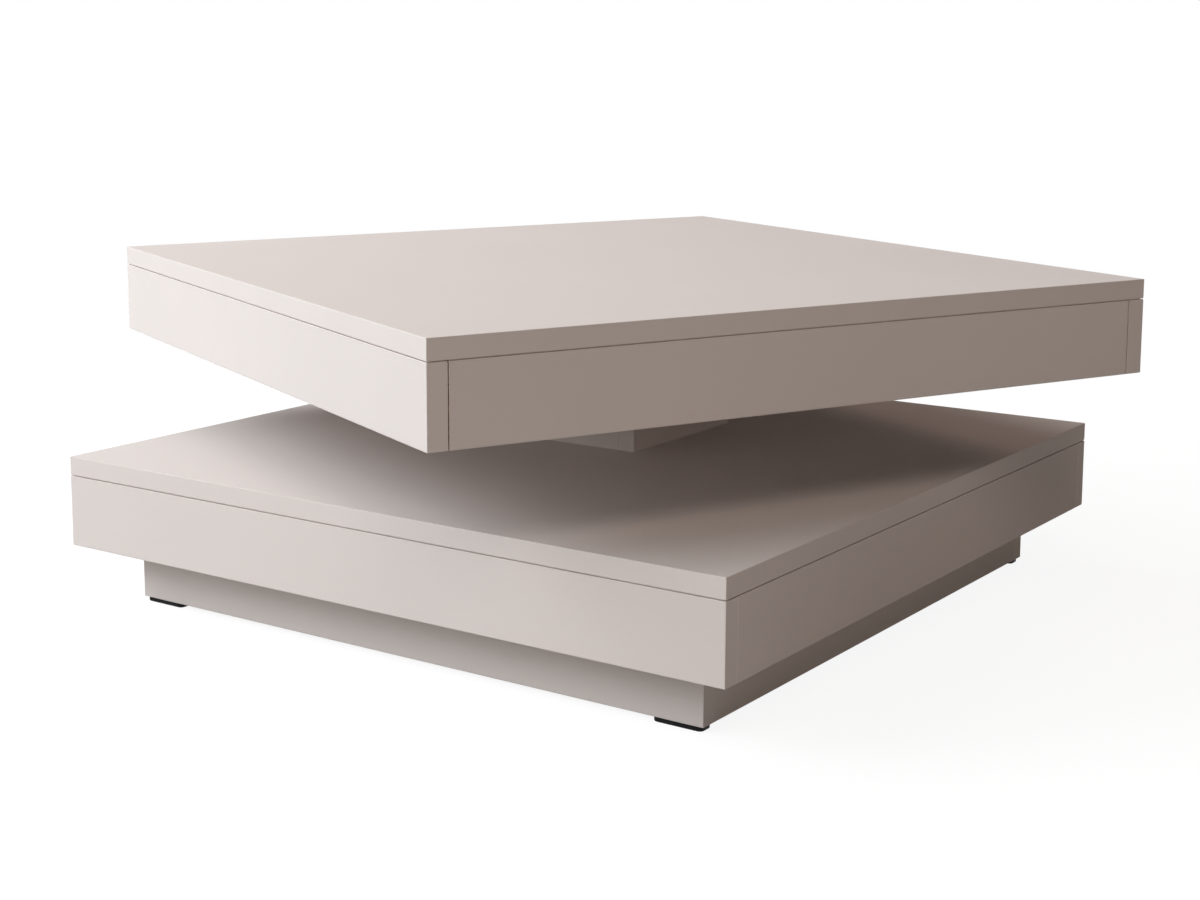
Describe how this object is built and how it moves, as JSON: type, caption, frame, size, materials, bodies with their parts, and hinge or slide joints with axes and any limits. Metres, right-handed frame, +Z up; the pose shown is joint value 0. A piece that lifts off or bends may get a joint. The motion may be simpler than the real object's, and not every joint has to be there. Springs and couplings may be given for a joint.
{
  "type": "convertible coffee table",
  "caption": "Low square coffee table: an upper box swivels without end on a bearing over an equal lower box, with a shelf gap and short column between them, on a recessed plinth.",
  "frame": {"origin": "on the floor under the middle of the table, on the turning axis of the upper box", "axes": "+Z up along the turning axis; +X to the right and -Y to the front of the fixed lower box, whose side boards run full depth; the upper box rests turned 25 degrees clockwise seen from above"},
  "size_m": [1.0362, 1.0362, 0.3465],
  "materials": {
    "laminate": "super-matt melamine facing on particle board, warm grey-beige, with matching 1 mm edge band",
    "chipboard": "plain melamine facing with raw particle board edges",
    "beech": "raw turned beech",
    "zinc": "zinc plated",
    "bearing_steel": "bright zinc plated pressed sheet",
    "ball_steel": "ground ball steel",
    "cage_plastic": "natural nylon",
    "black_plastic": "moulded black polyethylene, slightly satin"
  },
  "bodies": {
    "base": {"glide_front_left": "black_plastic", "glide_front_right": "black_plastic", "glide_back_left": "black_plastic", "glide_back_right": "black_plastic", "glide_screws": "zinc", "plinth_left": "laminate", "plinth_right": "laminate", "plinth_front": "laminate", "plinth_back": "laminate", "plinth_stretcher": "laminate", "plinth_cams": "zinc", "plinth_cam_bolts": "zinc", "plinth_dowels": "beech", "lower_left_apron": "laminate", "lower_right_apron": "laminate", "lower_front_apron": "laminate", "lower_back_apron": "laminate", "lower_floor_panel": "chipboard", "lower_rail_left": "chipboard", "lower_rail_right": "chipboard", "lower_top_panel": "laminate", "lower_cams": "zinc", "lower_cam_bolts": "zinc", "lower_dowels": "beech", "inner_dowels": "beech", "column_front": "laminate", "column_back": "laminate", "column_left": "laminate", "column_right": "laminate", "column_dowels": "beech", "column_screws": "zinc", "swivel_carrier": "chipboard", "carrier_screws": "zinc", "bearing_lower_plate": "bearing_steel", "bearing_lower_screws": "zinc"},
    "ball_ring": {"ball_cage": "cage_plastic", "bearing_balls": "ball_steel"},
    "upper": {"bearing_upper_plate": "bearing_steel", "bearing_upper_screws": "zinc", "upper_left_apron": "laminate", "upper_right_apron": "laminate", "upper_front_apron": "laminate", "upper_back_apron": "laminate", "upper_top_panel": "laminate", "upper_cams": "zinc", "upper_cam_bolts": "zinc", "upper_dowels": "beech"}
  },
  "joints": [
    {"name": "top_turn", "type": "hinge", "parent": "base", "child": "upper", "pos_m": [0, 0, 0.3185], "axis": [0, 0, 1], "continuous": true},
    {"name": "ball_ring_turn", "type": "hinge", "parent": "base", "child": "ball_ring", "pos_m": [0, 0, 0.3185], "axis": [0, 0, 1], "continuous": true}
  ],
  "couplings": [
    {"joint": "ball_ring_turn", "follows": "top_turn", "ratio": 0.5}
  ]
}
